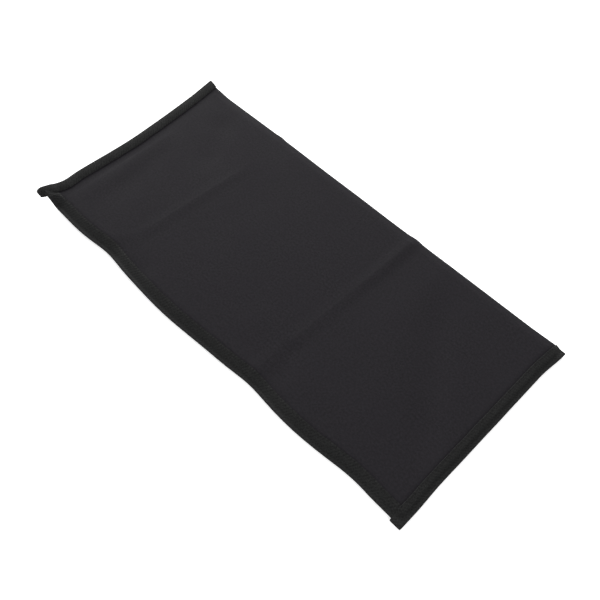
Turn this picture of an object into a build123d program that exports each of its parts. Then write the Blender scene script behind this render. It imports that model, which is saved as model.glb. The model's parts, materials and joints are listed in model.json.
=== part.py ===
"""Film changing bag, lying flat and empty.

An outer cloth bag holds an inner cloth bag. The outer bag is folded along its far long edge and
bound with tape on the other three. Both bags open by a zip near the left end, on the underside,
and two arm sleeves with elastic cuffs lie folded under the right end. The bag folds in three
along two creases for storage.

Frame: +X along the length towards the sleeve end, +Y towards the folded edge, +Z up, origin at
the centre of the bag's outline on the surface that it lies on. Millimetres.
"""
import os

from build123d import *

os.makedirs("parts", exist_ok=True)

# ---- driving dimensions -----------------------------------------------------------------------
LENGTH = 560.0  # outside the two end bindings
WIDTH = 270.0  # from the near binding's outer edge to the fold
TAPE_WIDTH = 13.5  # binding tape that shows on each face
TAPE_THICKNESS = 0.8
BINDING_HEIGHT = 4.0
BINDING_WEB = 1.0  # thickness of a binding where it passes round the edge
LEFT_TAPE_TIP = 6.0  # how far the left end's tape sticks out past the near binding
RIGHT_TAPE_TIP = 2.5
LEFT_CREASE_SHARE = 0.24  # of the length, from the left end
RIGHT_CREASE_SHARE = 0.625
BODY_GAP = 0.3  # between pieces that move against each other

OUTER_CLOTH = 0.8
INNER_CLOTH = 0.4
SLOPE_RUN = 14.0  # length of the slope from a panel's rim up to its flat middle
FOLD_RUN = 8.0  # the same beside the fold, where it is steeper
FRONT_Z = 8.9  # undersides of the four flat middles
INNER_FRONT_Z = 8.2
INNER_BACK_Z = 6.6
BACK_Z = 3.6

SLEEVE_WIDTH = 100.0
SLEEVE_LENGTH = 172.0  # hinge line to cuff edge
SLEEVE_HEIGHT = 2.6
SLEEVE_WALL = 0.8
SLEEVE_STRAIGHT = 52.0  # length at full width, next to the root
SLEEVE_GAP = 6.0  # between the two sleeves
ROOT_GAP = 2.0  # between a sleeve's hinge line and its cloth
SEAM_WIDTH = 12.0  # seam tape round each arm slit
ARM_SLIT = (3.0, 90.0)  # where each sleeve opens into the bags, closed when they lie flat
CUFF_WIDTH = 62.0
CUFF_LENGTH = 18.0
CUFF_HEIGHT = 3.2
CUFF_WALL = 0.35
ELASTIC_SLOT = 0.5
ELASTIC_WIDTH = 12.0
ELASTIC_THICKNESS = 0.4

ZIP_LENGTH = 200.0
ZIP_INSET = 48.0  # outer zip's centre line from the left end
INNER_ZIP_OFFSET = 38.0  # from the outer zip to the inner one
ZIP_SLOT = 14.0  # width of the slots over the zips
ZIP_SLOT_MARGIN = 2.0  # from a slot's ends to the zip tapes' ends
ZIP_TAPE = 0.6
ZIP_TAPE_REACH = 14.0  # from the zip's centre line to its tape's outer edge
TOOTH_HEIGHT = 1.6
TOOTH_PITCH = 4.0
TOOTH_LENGTH = 2.6
ROW_REACH = 2.6  # from the centre line to the outer side of a row of teeth
ROW_GAP = 0.5  # from the centre line to the tips of the teeth
ROW_CORD = 0.8  # width of the cord that carries the teeth
ROW_MARGIN = 2.0  # from a stop to the tapes' ends
STOP_LENGTH = 2.4

SLIDER_LENGTH = 11.0
SLIDER_WIDTH = 8.4
SLIDER_PLATE = 0.6
SLIDER_REST_GAP = 1.0  # between the slider and the far stop
PLATE_GAP = 0.2  # between a slider plate and the teeth
LIP_WIDTH = 0.8  # turned edges of the slider plates
LIP_HEIGHT = 0.5
SLIDER_WEB = 0.5  # joins the two slider plates, between the rows of teeth
ARCH_LENGTH = 6.0
ARCH_WIDTH = 1.6
ARCH_HEIGHT = 1.7
ARCH_WINDOW = (3.0, 1.1)  # length and height of the gap that the pull's bar turns in
PULL_BAR_RADIUS = 0.4
PULL_BAR_LENGTH = 4.8
PULL_LENGTH = 24.0  # from its bar to its tip
PULL_WIDTH = 6.4
PULL_EYE = (2.8, 4.6)  # the hole that goes round the arch
PULL_GRIP = (3.0, 10.0)  # the hole in the finger grip
PULL_RIM = 3.0  # from the grip hole to the tip
SOFT_TAB = (5.0, 12.0)  # the inner slider's cloth tab

# ---- places worked out from them ----------------------------------------------------------------
x_end = LENGTH / 2
y_fold = (WIDTH + LEFT_TAPE_TIP) / 2
y_near = y_fold - WIDTH
x_left_crease = -x_end + LEFT_CREASE_SHARE * LENGTH
x_right_crease = -x_end + RIGHT_CREASE_SHARE * LENGTH
x_rim = x_end - BINDING_WEB  # panel edges, inside the bindings
y_rim = y_near + BINDING_WEB
x_binding = x_end - TAPE_WIDTH  # inner edge of the end bindings
y_binding = y_near + TAPE_WIDTH
FAR_OUT = 400.0  # beyond the bag on every side, for the boxes that cut

SECTIONS = {
    "left": (-x_end, x_left_crease - BODY_GAP / 2),
    "middle": (x_left_crease + BODY_GAP / 2, x_right_crease - BODY_GAP / 2),
    "right": (x_right_crease + BODY_GAP / 2, x_end),
}

# The four rims lie on each other inside the bindings.
back_rim_z = TAPE_THICKNESS
inner_back_rim_z = back_rim_z + OUTER_CLOTH
inner_front_rim_z = inner_back_rim_z + INNER_CLOTH
front_rim_z = inner_front_rim_z + INNER_CLOTH

BACK_INSET = 3.0  # from the bindings to the foot of the outer back panel's slope
sleeve_hinge_x = x_binding - BACK_INSET - SLOPE_RUN - ARM_SLIT[0] / 6
seam_x = (sleeve_hinge_x - SEAM_WIDTH, sleeve_hinge_x)
y_middle = (y_near + y_fold) / 2
sleeve_centres = {
    "near": y_middle - (SLEEVE_WIDTH + SLEEVE_GAP) / 2,
    "far": y_middle + (SLEEVE_WIDTH + SLEEVE_GAP) / 2,
}

zip_ends = (y_middle - ZIP_LENGTH / 2, y_middle + ZIP_LENGTH / 2)
outer_zip_x = -x_end + ZIP_INSET
inner_zip_x = outer_zip_x + INNER_ZIP_OFFSET
row_ends = (zip_ends[0] + ROW_MARGIN + STOP_LENGTH, zip_ends[1] - ROW_MARGIN - STOP_LENGTH)
tooth_count = int((row_ends[1] - row_ends[0]) / TOOTH_PITCH)
slider_y = row_ends[1] - SLIDER_REST_GAP - SLIDER_LENGTH / 2


def finish(builder, node):
    """Labels a finished piece and writes its file."""
    builder.part.label = node
    export_step(builder.part, f"parts/{node}.step")


def centred(middle, size):
    """The two ends of a stretch, from its middle and its size."""
    return (middle - size / 2, middle + size / 2)


def block(x_range, y_range, z_range, mode=Mode.ADD):
    """Joins a box to the part being built, or cuts it away."""
    ranges = (x_range, y_range, z_range)
    with Locations(tuple((low + high) / 2 for low, high in ranges)):
        Box(*(high - low for low, high in ranges), mode=mode)


# ---- panels of the two bags ---------------------------------------------------------------------
def raised_panel(rim_z, flat_z, cloth, far_rim, near_inset, far_inset, far_run):
    """A cloth panel: a flat rim that goes into the bindings, and a raised flat middle.

    rim_z and flat_z are the undersides of the rim and of the middle. far_rim is how far inside
    the fold the rim ends. The insets are where the slope starts, in from the bindings and from
    the fold; far_run is its length beside the fold.
    """
    y_rim_far = y_fold - far_rim
    x_low = x_binding - near_inset
    x_high = x_low - SLOPE_RUN
    y_low = (y_binding + near_inset, y_fold - far_inset)
    y_high = (y_low[0] + SLOPE_RUN, y_low[1] - far_run)

    with BuildPart() as panel:
        with BuildSketch(Plane.XY.offset(rim_z)):
            with Locations((0, (y_rim + y_rim_far) / 2)):
                Rectangle(2 * x_rim, y_rim_far - y_rim)
        extrude(amount=cloth)
        for z_shift, slab_mode in ((cloth, Mode.ADD), (0, Mode.SUBTRACT)):
            with BuildSketch(Plane.XY.offset(rim_z + z_shift)):
                with Locations((0, sum(y_low) / 2)):
                    Rectangle(2 * x_low, y_low[1] - y_low[0])
            with BuildSketch(Plane.XY.offset(flat_z + z_shift)):
                with Locations((0, sum(y_high) / 2)):
                    Rectangle(2 * x_high, y_high[1] - y_high[0])
            loft(ruled=True, mode=slab_mode)
    return panel.part


def zip_slot(x_middle):
    """Cuts the opening in a back panel over a zip."""
    y_range = (zip_ends[0] + ZIP_SLOT_MARGIN, zip_ends[1] - ZIP_SLOT_MARGIN)
    block(centred(x_middle, ZIP_SLOT), y_range, (0, FAR_OUT), Mode.SUBTRACT)


def arm_slit(side):
    """Cuts the slit in a back panel or seam tape where a sleeve opens into the bag."""
    x_range = centred(sum(seam_x) / 2, ARM_SLIT[0])
    y_range = centred(sleeve_centres[side], ARM_SLIT[1])
    block(x_range, y_range, (0, FAR_OUT), Mode.SUBTRACT)


PANELS = {
    "outer_front": raised_panel(
        front_rim_z, FRONT_Z, OUTER_CLOTH, far_rim=0, near_inset=0.3, far_inset=0, far_run=FOLD_RUN
    ),
    "outer_back": raised_panel(
        back_rim_z, BACK_Z, OUTER_CLOTH, far_rim=0, near_inset=BACK_INSET, far_inset=12, far_run=SLOPE_RUN
    ),
    "inner_front": raised_panel(
        inner_front_rim_z, INNER_FRONT_Z, INNER_CLOTH, OUTER_CLOTH, near_inset=1.0, far_inset=1.6, far_run=FOLD_RUN
    ),
    "inner_back": raised_panel(
        inner_back_rim_z, INNER_BACK_Z, INNER_CLOTH, OUTER_CLOTH, near_inset=2.0, far_inset=2.6, far_run=FOLD_RUN
    ),
}
for panel_name, panel_shape in PANELS.items():
    for section, x_range in SECTIONS.items():
        node = f"{panel_name}_{section}"
        with BuildPart() as panel_piece:
            add(panel_shape)
            if panel_name == "outer_front":  # it comes down round the fold to the back's rim
                fold_z = (inner_back_rim_z, front_rim_z + OUTER_CLOTH)
                block((-x_rim, x_rim), (y_fold - OUTER_CLOTH, y_fold), fold_z)
            block(x_range, (-FAR_OUT, FAR_OUT), (-FAR_OUT, FAR_OUT), Mode.INTERSECT)
            if node == "outer_back_left":
                zip_slot(outer_zip_x)
            if node == "inner_back_left":
                zip_slot(inner_zip_x)
            if node in ("outer_back_right", "inner_back_right"):
                for side in sleeve_centres:
                    arm_slit(side)
        finish(panel_piece, node)

# ---- binding tape -------------------------------------------------------------------------------
slot_z = (TAPE_THICKNESS, BINDING_HEIGHT - TAPE_THICKNESS)
near_stretches = {
    "left": (-x_binding, SECTIONS["left"][1]),
    "middle": SECTIONS["middle"],
    "right": (SECTIONS["right"][0], x_binding),
}
for section, x_range in near_stretches.items():
    with BuildPart() as near_binding:
        block(x_range, (y_near, y_binding), (0, BINDING_HEIGHT))
        block(x_range, (y_rim, y_binding), slot_z, Mode.SUBTRACT)
    finish(near_binding, f"near_binding_{section}")

end_bindings = {
    "left_end_binding": ((-x_end, -x_binding), (-x_rim, -x_binding), LEFT_TAPE_TIP),
    "right_end_binding": ((x_binding, x_end), (x_binding, x_rim), RIGHT_TAPE_TIP),
}
for node, (x_range, slot_x, tip) in end_bindings.items():
    with BuildPart() as end_binding:
        block(x_range, (y_near - tip, y_fold), (0, BINDING_HEIGHT))
        block(slot_x, (y_rim, y_fold), slot_z, Mode.SUBTRACT)
    finish(end_binding, node)

# ---- zips ---------------------------------------------------------------------------------------
ZIPS = {
    "outer_zip": (outer_zip_x, BACK_Z - ZIP_TAPE),
    "inner_zip": (inner_zip_x, INNER_BACK_Z - ZIP_TAPE),
}
for zip_name, (zip_x, tape_z) in ZIPS.items():
    row_z = tape_z + ZIP_TAPE / 2 - TOOTH_HEIGHT / 2
    for side_name, side in (("left", -1), ("right", 1)):
        tape_x = sorted((zip_x + side * ROW_REACH, zip_x + side * ZIP_TAPE_REACH))
        with BuildPart() as zip_tape:
            block(tape_x, zip_ends, (tape_z, tape_z + ZIP_TAPE))
        finish(zip_tape, f"{zip_name}_tape_{side_name}")

        tooth_x = zip_x + side * (ROW_REACH + ROW_GAP) / 2
        cord_x = zip_x + side * (ROW_REACH - ROW_CORD / 2)
        with BuildPart() as zip_row:
            with BuildSketch(Plane.XY.offset(row_z)):
                with Locations((cord_x, y_middle)):
                    Rectangle(ROW_CORD, row_ends[1] - row_ends[0])
                with Locations((tooth_x, y_middle)):
                    with GridLocations(TOOTH_PITCH, TOOTH_PITCH, 1, tooth_count):
                        Rectangle(ROW_REACH - ROW_GAP, TOOTH_LENGTH)
            extrude(amount=TOOTH_HEIGHT)
        finish(zip_row, f"{zip_name}_teeth_{side_name}")

    stops = {
        "near": (row_ends[0] - STOP_LENGTH, row_ends[0]),
        "far": (row_ends[1], row_ends[1] + STOP_LENGTH),
    }
    for end_name, y_range in stops.items():
        with BuildPart() as zip_stop:
            block(centred(zip_x, 2 * ROW_REACH), y_range, (row_z, row_z + TOOTH_HEIGHT))
        finish(zip_stop, f"{zip_name}_stop_{end_name}")

# The outer slider carries an arch that its pull hangs from, the inner one a soft tab.
SLIDER_DROP = PLATE_GAP + SLIDER_PLATE + TOOTH_HEIGHT / 2 - ZIP_TAPE / 2  # outer face below the tape
outer_slider_low = ZIPS["outer_zip"][1] - SLIDER_DROP
inner_slider_low = ZIPS["inner_zip"][1] - SLIDER_DROP
pull_hinge_z = outer_slider_low - ARCH_WINDOW[1] / 2


def slider_body(zip_x, tape_z):
    """Builds a zip's slider: both plates, their turned edges and the web between the rows."""
    teeth_middle = tape_z + ZIP_TAPE / 2
    plate_low = teeth_middle - TOOTH_HEIGHT / 2 - PLATE_GAP
    plate_high = teeth_middle + TOOTH_HEIGHT / 2 + PLATE_GAP
    y_range = centred(slider_y, SLIDER_LENGTH)
    x_range = centred(zip_x, SLIDER_WIDTH)
    block(centred(zip_x, SLIDER_WEB), y_range, (plate_low, plate_high))
    block(x_range, y_range, (plate_low - SLIDER_PLATE, plate_low))
    block(x_range, y_range, (plate_high, plate_high + SLIDER_PLATE))
    for lip_x in ((x_range[0], x_range[0] + LIP_WIDTH), (x_range[1] - LIP_WIDTH, x_range[1])):
        block(lip_x, y_range, (plate_low, plate_low + LIP_HEIGHT))
        block(lip_x, y_range, (plate_high - LIP_HEIGHT, plate_high))


with BuildPart() as outer_slider:
    slider_body(*ZIPS["outer_zip"])
    arch_x = centred(outer_zip_x, ARCH_WIDTH)
    arch_z = (outer_slider_low - ARCH_HEIGHT, outer_slider_low)
    window_z = (outer_slider_low - ARCH_WINDOW[1], outer_slider_low)
    block(arch_x, centred(slider_y, ARCH_LENGTH), arch_z)
    block(arch_x, centred(slider_y, ARCH_WINDOW[0]), window_z, Mode.SUBTRACT)
finish(outer_slider, "outer_zip_slider")

with BuildPart() as outer_pull:
    with BuildSketch(Plane.XY.offset(pull_hinge_z - PULL_BAR_RADIUS)):
        with Locations((outer_zip_x, slider_y - PULL_LENGTH / 2)):
            RectangleRounded(PULL_WIDTH, PULL_LENGTH, PULL_WIDTH / 3)
        with Locations((outer_zip_x, slider_y - PULL_EYE[1] / 2)):
            Rectangle(*PULL_EYE, mode=Mode.SUBTRACT)
        with Locations((outer_zip_x, slider_y - PULL_LENGTH + PULL_RIM + PULL_GRIP[1] / 2)):
            RectangleRounded(*PULL_GRIP, PULL_GRIP[0] / 3, mode=Mode.SUBTRACT)
    extrude(amount=2 * PULL_BAR_RADIUS)
    with Locations((outer_zip_x, slider_y, pull_hinge_z)):
        Cylinder(PULL_BAR_RADIUS, PULL_BAR_LENGTH, rotation=(0, 90, 0))
finish(outer_pull, "outer_zip_pull")

with BuildPart() as inner_slider:
    slider_body(*ZIPS["inner_zip"])
finish(inner_slider, "inner_zip_slider")

tab_end = slider_y - SLIDER_LENGTH / 2
with BuildPart() as inner_tab:
    tab_z = (inner_slider_low, inner_slider_low + SLIDER_PLATE)
    block(centred(inner_zip_x, SOFT_TAB[0]), (tab_end - SOFT_TAB[1], tab_end), tab_z)
finish(inner_tab, "inner_zip_soft_tab")

# ---- arm sleeves --------------------------------------------------------------------------------
cuff_x = (sleeve_hinge_x - SLEEVE_LENGTH, sleeve_hinge_x - SLEEVE_LENGTH + CUFF_LENGTH)
band_x = (cuff_x[1] - ELASTIC_WIDTH, cuff_x[1])
sleeve_x = (cuff_x[1], sleeve_hinge_x - ROOT_GAP)


def flat_tube(inward, sleeve_y):
    """A flattened sleeve's filled shape, inward smaller all round: straight, then tapering."""
    root_half = SLEEVE_WIDTH / 2 - inward
    cuff_half = CUFF_WIDTH / 2 - inward
    x_taper = sleeve_x[1] - SLEEVE_STRAIGHT
    with BuildPart() as tube:
        with BuildSketch(Plane.XY.offset(inward)):
            with BuildLine():
                Polyline(
                    (sleeve_x[1], sleeve_y + root_half),
                    (x_taper, sleeve_y + root_half),
                    (sleeve_x[0], sleeve_y + cuff_half),
                    (sleeve_x[0], sleeve_y - cuff_half),
                    (x_taper, sleeve_y - root_half),
                    (sleeve_x[1], sleeve_y - root_half),
                    close=True,
                )
            make_face()
        extrude(amount=SLEEVE_HEIGHT - 2 * inward)
    return tube.part


def cuff_ring(x_range, sleeve_y, outset, wall, mode=Mode.ADD):
    """A flat ring of the cuff: outset is how far in from the cuff's outside it lies."""
    with BuildPart(mode=Mode.PRIVATE) as ring:
        for inward, ring_mode in ((outset, Mode.ADD), (outset + wall, Mode.SUBTRACT)):
            y_range = centred(sleeve_y, CUFF_WIDTH - 2 * inward)
            block(x_range, y_range, (inward, CUFF_HEIGHT - inward), ring_mode)
    add(ring.part, mode=mode)


for side, sleeve_y in sleeve_centres.items():
    with BuildPart() as sleeve_seam:
        block(seam_x, centred(sleeve_y, SLEEVE_WIDTH), (SLEEVE_HEIGHT + BODY_GAP, BACK_Z))
        arm_slit(side)
    finish(sleeve_seam, f"sleeve_seam_{side}")

    outside = flat_tube(0, sleeve_y)
    inside = flat_tube(SLEEVE_WALL, sleeve_y)
    with BuildPart() as sleeve:
        add(outside)
        add(inside, mode=Mode.SUBTRACT)
    finish(sleeve, f"sleeve_{side}")

    # The cuff is a hem with an outer and an inner wall, and the elastic band lies between them.
    with BuildPart() as cuff:
        cuff_ring(cuff_x, sleeve_y, 0, 2 * CUFF_WALL + ELASTIC_SLOT)
        cuff_ring(band_x, sleeve_y, CUFF_WALL, ELASTIC_SLOT, Mode.SUBTRACT)
    finish(cuff, f"sleeve_cuff_{side}")

    with BuildPart() as elastic:
        cuff_ring(band_x, sleeve_y, CUFF_WALL, ELASTIC_THICKNESS)
    finish(elastic, f"sleeve_elastic_{side}")
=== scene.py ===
import json
import math

import bpy
import numpy as np
from mathutils import Matrix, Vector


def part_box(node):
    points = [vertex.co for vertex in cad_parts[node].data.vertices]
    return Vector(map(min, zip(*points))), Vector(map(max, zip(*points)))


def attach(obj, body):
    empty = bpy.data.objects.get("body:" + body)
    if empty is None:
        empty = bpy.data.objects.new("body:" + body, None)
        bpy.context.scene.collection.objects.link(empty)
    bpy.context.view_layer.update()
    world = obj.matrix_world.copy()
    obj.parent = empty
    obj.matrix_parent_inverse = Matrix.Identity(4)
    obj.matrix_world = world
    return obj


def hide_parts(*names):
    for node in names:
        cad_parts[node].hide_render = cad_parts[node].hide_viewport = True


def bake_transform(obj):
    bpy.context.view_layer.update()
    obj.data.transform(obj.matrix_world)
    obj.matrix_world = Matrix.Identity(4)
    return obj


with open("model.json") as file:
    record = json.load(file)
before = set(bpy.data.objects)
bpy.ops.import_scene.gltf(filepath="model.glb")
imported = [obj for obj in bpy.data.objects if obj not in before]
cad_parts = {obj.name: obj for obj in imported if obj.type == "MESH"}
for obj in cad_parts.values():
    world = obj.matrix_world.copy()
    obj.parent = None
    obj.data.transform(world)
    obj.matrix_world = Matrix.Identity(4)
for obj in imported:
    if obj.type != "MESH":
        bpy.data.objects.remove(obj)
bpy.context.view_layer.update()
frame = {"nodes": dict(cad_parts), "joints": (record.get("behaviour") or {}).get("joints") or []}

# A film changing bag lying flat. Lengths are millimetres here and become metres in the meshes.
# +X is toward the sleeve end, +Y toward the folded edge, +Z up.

METRES = 0.001

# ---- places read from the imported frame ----


def low(node):
    """The lowest corner of a CAD node, in millimetres."""
    return np.array(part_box(node)[0]) / METRES


def high(node):
    """The highest corner of a CAD node, in millimetres."""
    return np.array(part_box(node)[1]) / METRES


def joint_place(name):
    """A joint's position, in millimetres."""
    joint = next(j for j in frame["joints"] if j["name"] == name)
    return np.array(joint["pos_m"]) / METRES


LEFT_EDGE = low("left_end_binding")[0]
RIGHT_EDGE = high("right_end_binding")[0]
NEAR_EDGE = low("near_binding_middle")[1]
FOLD_EDGE = high("outer_front_middle")[1]
LEFT_TIP = low("left_end_binding")[1]
RIGHT_TIP = low("right_end_binding")[1]
LEFT_CREASE = joint_place("left_fold")[0]
RIGHT_CREASE = joint_place("right_fold")[0]
TAPE_WIDTH = high("left_end_binding")[0] - LEFT_EDGE
SPLIT = round((LEFT_CREASE + RIGHT_CREASE) / 2)  # where the two halves of a long piece meet
OUTER_ZIP = (low("outer_zip_tape_left")[0] + high("outer_zip_tape_right")[0]) / 2
INNER_ZIP = (low("inner_zip_tape_left")[0] + high("inner_zip_tape_right")[0]) / 2
ZIP_NEAR = low("outer_zip_tape_left")[1]
ZIP_FAR = high("outer_zip_tape_left")[1]
SLEEVE_HINGE_X = joint_place("sleeve_swing_near")[0]
SLEEVE_CENTRES = {side: joint_place(f"sleeve_swing_{side}")[1] for side in ("near", "far")}

# Heights of the middle of each cloth layer: in the bindings, and out in the flat of the panel.
FRONT = (2.75, 9.1)
INNER_FRONT = (2.2, 8.2)
INNER_BACK = (1.7, 6.6)
BACK = (1.2, 3.95)

# Half the thickness of each material.
OUTER_HALF = 0.24
INNER_HALF = 0.14
TAPE_HALF = 0.3

# Half the size of each hole in the back of the bags, and where the arm slits are.
ZIP_SLOT_HALF = 7.0
ZIP_SLOT_END = 2.0  # how far the slot stops short of the zip tapes' ends
ARM_SLIT_HALF = (1.5, 45.0)
ARM_SLIT_X = 243.0

# ---- shape of the bag ----
# Each bell or ease below has a place and a width on the bag and a factor, how far it moves the cloth,
# in millimetres. They were set by comparing renders with the photograph.


def ease(t):
    """0 to 1, smooth at both ends."""
    t = np.clip(t, 0.0, 1.0)
    return t * t * (3 - 2 * t)


def bell(t):
    """1 at zero, falling away smoothly to both sides."""
    return np.exp(-t * t)


WAVE_COUNT = 5


def waves(s, length, seed):
    """A gentle irregular line along s: a few sines, each with its own length and phase."""
    random = np.random.RandomState(seed)
    total = 0.0 * s
    for _ in range(WAVE_COUNT):
        pitch = length * random.uniform(0.6, 1.9)
        total = total + math.sqrt(pitch / length) * np.sin(
            2 * math.pi * s / pitch + random.uniform(0, 2 * math.pi)
        )
    return total / WAVE_COUNT


def near_wave(x):
    """How far the near edge bellies out from straight: the slack of a sewn cloth edge."""
    belly = 4.2 + 4.9 * bell((x + 54) / 64) + 1.3 * bell((x + 205) / 28) + 1.4 * bell((x - 138) / 34)
    nips = 2.6 * bell((x + 155) / 24) + 2.5 * bell((x - 74) / 26) + 3.9 * bell((x - 218) / 36)
    return nips - belly + 1.0 * ease((x - 235) / 30)


def left_bow(y):
    """The left end is drawn in along its middle, and runs out to its two corners."""
    far_corner = 12.8 * (np.clip(y + 10, 0, None) / 148) ** 1.6
    near_corner = 7.3 * ease((-106 - y) / 34) - 1.2 * bell((y + 104) / 10)
    return 12.0 + 1.2 * bell((y + 25) / 40) - far_corner - near_corner


def right_bow(y):
    """The right end is nearly straight, and runs out a little at its corners."""
    return -0.5 - 1.2 * ease((-75 - y) / 40) - 3.0 * ease((y - 95) / 45) + 0.2 * waves(y, 60, seed=4)


def fold_line(x):
    """The folded edge steps out slightly at each crease, and drifts towards its two corners."""
    creases = bell((x - LEFT_CREASE + 4) / 6) + bell((x - RIGHT_CREASE - 4) / 8)
    corners = 1.6 * ease((x - 235) / 45) + 0.7 * ease((x - 30) / 60) - 1.4 * ease((-150 - x) / 110)
    return -1.7 + 0.8 * creases + corners + 0.2 * waves(x, 160, seed=9)


def left_share(x, run):
    """0 in the left end's tape and 1 past its slope, half of which is straight."""
    share = np.clip((x - LEFT_EDGE - run[0]) / run[1], 0, 1)
    return 0.5 * share + 0.5 * ease(share)


LEFT_RUN = (12.0, 24.0)


def curl(x, y):
    """The left end curls up from the floor, its tape leans inwards, and its corners rise further."""
    from_far = np.hypot(x - LEFT_EDGE, y - FOLD_EDGE)
    from_near = np.hypot(x - LEFT_EDGE, y - LEFT_TIP)
    whole_end = 6.1 * (1 - left_share(x, LEFT_RUN))
    lean = 2.1 * np.clip(1 - ((x - LEFT_EDGE) / 12.5) ** 2, 0, 1)
    return whole_end + lean + 0.5 * ease(1 - from_far / 40) + 1.8 * ease(1 - from_near / 40)


def warp(points):
    """Carries points from the straight bag to the real one: its edges move, and its left end curls."""
    x, y, z = points[..., 0], points[..., 1], points[..., 2]
    moved_y = y + near_wave(x) * ease((-85 - y) / 35) + fold_line(x) * ease((y - 98) / 32)
    moved_x = x + left_bow(y) * ease((-240 - x) / 27) - right_bow(y) * ease((x - 240) / 36)
    return np.stack([moved_x, moved_y, z + curl(x, y)], axis=-1)


def raised(x, y, run_near, run_right, run_left, run_far):
    """0 in the bindings and 1 over the flat of the panel; its rise is gentlest on the left."""
    near = ease((y - NEAR_EDGE - run_near[0]) / run_near[1])
    right = ease((RIGHT_EDGE - x - run_right[0]) / run_right[1])
    far = ease((FOLD_EDGE - y - run_far[0]) / run_far[1])
    return near * right * left_share(x, run_left) * far


def crease(x, y, line_x, seed):
    """A fold that has been opened out: a soft crest that drops to a long shallow dip on its right."""
    wander = line_x + 1.3 * waves(y, 110, seed)
    across = x - wander
    drop = 1 - 2.1 * ease(across / 17)
    recovery = ease((across - 17) / 42)
    return np.where(across < 0, bell(across / 6), drop + 1.1 * recovery)


def trough(x, y, start, end, width, depth):
    """A shallow valley along the line from start to end, fading out at both."""
    start = np.array(start, float)
    run = np.array(end, float) - start
    length = np.hypot(*run)
    run = run / length
    along = (x - start[0]) * run[0] + (y - start[1]) * run[1]
    across = -(x - start[0]) * run[1] + (y - start[1]) * run[0]
    fade = ease((along + 0.2 * length) / (0.4 * length)) * ease((1.2 * length - along) / (0.4 * length))
    return -depth * bell(across / width) * fade


# Where the slack cloth sinks, or swells where the depth is below zero: from, to, width and depth.
HOLLOWS = [
    ((150, 90), (252, -70), 18, 1.8),
    ((118, 60), (198, -80), 20, -0.5),
    ((-240, 30), (-236, -100), 13, -0.8),
    ((-236, 20), (-206, -80), 15, 0.8),
    ((-220, 100), (-176, 36), 16, 0.9),
    ((-90, 60), (-95, -60), 26, 0.4),
    ((20, -100), (34, -60), 16, -0.4),
    ((74, -70), (96, -110), 12, 0.6),
    ((-155, -124), (-100, -124), 14, 1.5),
    ((80, -124), (125, -124), 12, 1.0),
]


def relief(x, y):
    """The slack of the front cloth: opened creases and broad shallow hollows."""
    left_line = LEFT_CREASE + 0.045 * y
    right_line = RIGHT_CREASE - 0.5 + 0.02 * y
    shape = 0.3 * crease(x, y, left_line, seed=21) * ease((y + 118) / 40) * ease((88 - y) / 50)
    shape = shape + 0.7 * crease(x, y, right_line, seed=22) * (0.4 + 0.6 * ease((y + 20) / 120))
    for start, end, width, depth in HOLLOWS:
        shape = shape + trough(x, y, start, end, width, depth)
    return shape


def front(x, y, heights=FRONT, inset=0.0):
    """The middle of a front layer."""
    near_run = (3.5 + inset, 10.0)
    right_run = (5.0 + inset, 9.5)
    left_run = (LEFT_RUN[0] + inset, LEFT_RUN[1])
    lift = raised(x, y, near_run, right_run, left_run, (-12.0 + inset, 24.0))
    return heights[0] + (heights[1] - heights[0]) * lift + relief(x, y) * lift ** 2


def back(x, y, heights=BACK):
    """The middle of a back layer, raised to leave room for the sleeves and the zip."""
    lift = raised(x, y, (13.0, 16.0), (13.0, 16.0), (13.0, 24.0), (2.0, 22.0))
    return heights[0] + (heights[1] - heights[0]) * lift


# ---- mesh helpers ----


def lines(breaks, step):
    """Grid lines about one step apart that pass through every break."""
    breaks = sorted(set(round(float(b), 3) for b in breaks))
    parts = [
        np.linspace(a, b, max(1, round((b - a) / step)) + 1)[:-1] for a, b in zip(breaks, breaks[1:])
    ]
    return np.concatenate(parts + [np.array(breaks[-1:], float)])


def refine(grid, places, reach, step):
    """Halves the steps of a grid within reach of some places until they are small enough."""
    while True:
        middles = (grid[1:] + grid[:-1]) / 2
        close = np.abs(middles[:, None] - np.array(places)[None, :]).min(axis=1) < reach
        split = middles[close & (np.diff(grid) > 1.05 * step)]
        if len(split) == 0:
            return grid
        grid = np.sort(np.concatenate([grid, split]))


def grid_of(x, y, z):
    """A grid of points from coordinates that may each vary in one direction only."""
    return np.stack(np.broadcast_arrays(x, y, z), axis=-1)


def cells_inside(points, x_range, y_range):
    """The cells of a grid whose middles lie in a rectangle seen from above."""
    middle = (points[1:, 1:] + points[:-1, :-1]) / 2
    inside_x = (middle[..., 0] > x_range[0]) & (middle[..., 0] < x_range[1])
    inside_y = (middle[..., 1] > y_range[0]) & (middle[..., 1] < y_range[1])
    return inside_x & inside_y


def grid_normals(points, around=False):
    """Unit normals of a grid of points; around says that the second direction closes on itself."""
    along = np.gradient(points, axis=0)
    if around:
        across = (np.roll(points, -1, axis=1) - np.roll(points, 1, axis=1)) / 2
    else:
        across = np.gradient(points, axis=1)
    normal = np.cross(along, across)
    return normal / np.maximum(np.linalg.norm(normal, axis=-1, keepdims=True), 1e-9)


def grid_lengths(points):
    """Cloth coordinates in millimetres: the length along each of the grid's two directions."""
    along = np.linalg.norm(np.diff(points, axis=0), axis=-1).mean(axis=1)
    across = np.linalg.norm(np.diff(points, axis=1), axis=-1).mean(axis=0)
    u = np.concatenate([[0], np.cumsum(along)])
    v = np.concatenate([[0], np.cumsum(across)])
    return np.stack(np.meshgrid(u, v, indexing="ij"), axis=-1)


def set_cloth_uv(mesh, cloth_uv):
    """Stores the vertices' cloth coordinates, in metres, as UVs."""
    loops = np.empty(len(mesh.loops), dtype=np.int32)
    mesh.loops.foreach_get("vertex_index", loops)
    layer = mesh.uv_layers.new(name="cloth")
    layer.data.foreach_set("uv", cloth_uv[loops].astype(np.float32).ravel())


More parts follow.
